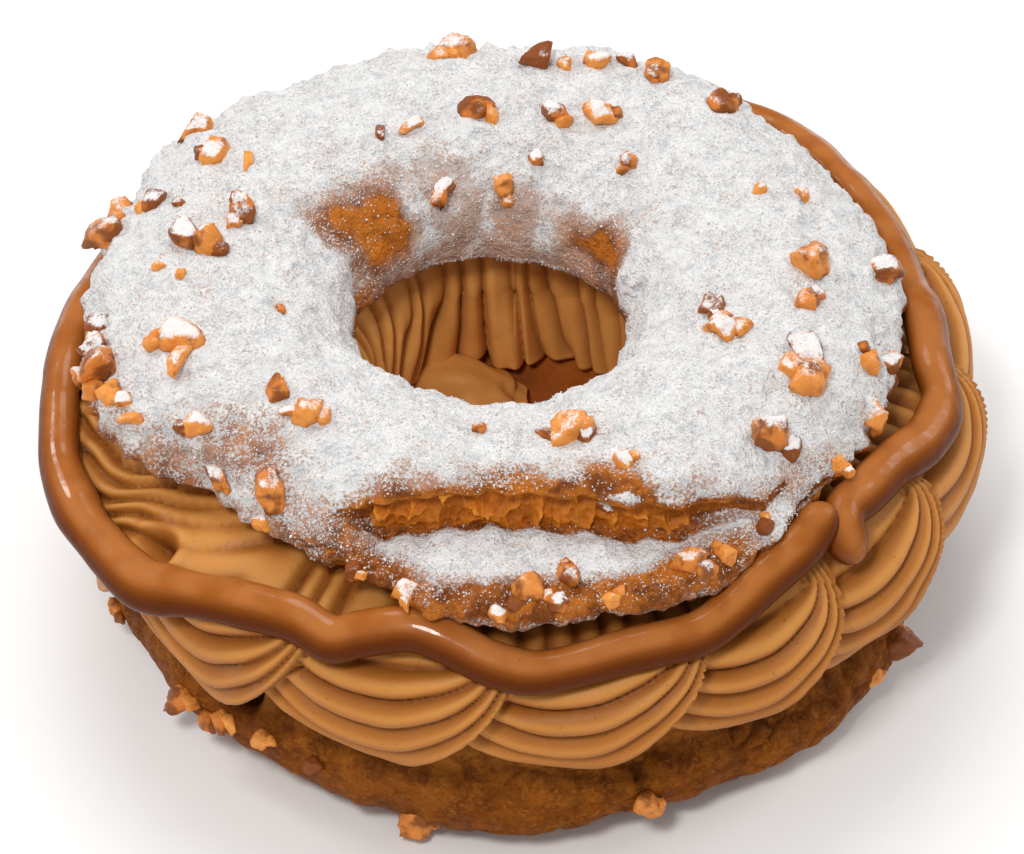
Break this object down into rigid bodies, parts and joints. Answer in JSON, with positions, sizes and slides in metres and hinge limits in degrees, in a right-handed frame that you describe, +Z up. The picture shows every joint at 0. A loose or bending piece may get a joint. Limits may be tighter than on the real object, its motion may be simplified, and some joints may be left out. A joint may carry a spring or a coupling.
{
  "type": "paris brest pastry",
  "caption": "Ring-shaped choux pastry split level and filled with piped praline cream, with a caramel bead, icing sugar and chopped nuts.",
  "frame": {"origin": "centre of the box round the pastry, at the foot of the choux base", "axes": "+Z up along the axis of the ring; -Y is the front, where the lid is torn; +X is to the right seen from the front"},
  "size_m": [0.125, 0.1254, 0.0546],
  "materials": {
    "crust": "baked choux crust, mottled brown, matte with a faint sheen",
    "praline": "smooth praline buttercream with fine nut specks, satin",
    "caramel": "soft set caramel, glossy",
    "sugared_crust": "baked choux crust under a sifted layer of icing sugar, matte",
    "crumb": "open golden choux crumb where the lid has torn, matte",
    "nuts": "chopped nuts toasted in sugar, partly glossy",
    "sugar": "icing sugar in small clumps, matte white"
  },
  "bodies": {
    "root": {"choux_base": "crust", "praline_cream": "praline", "caramel_bead": "caramel", "choux_lid": "sugared_crust"}
  },
  "joints": []
}
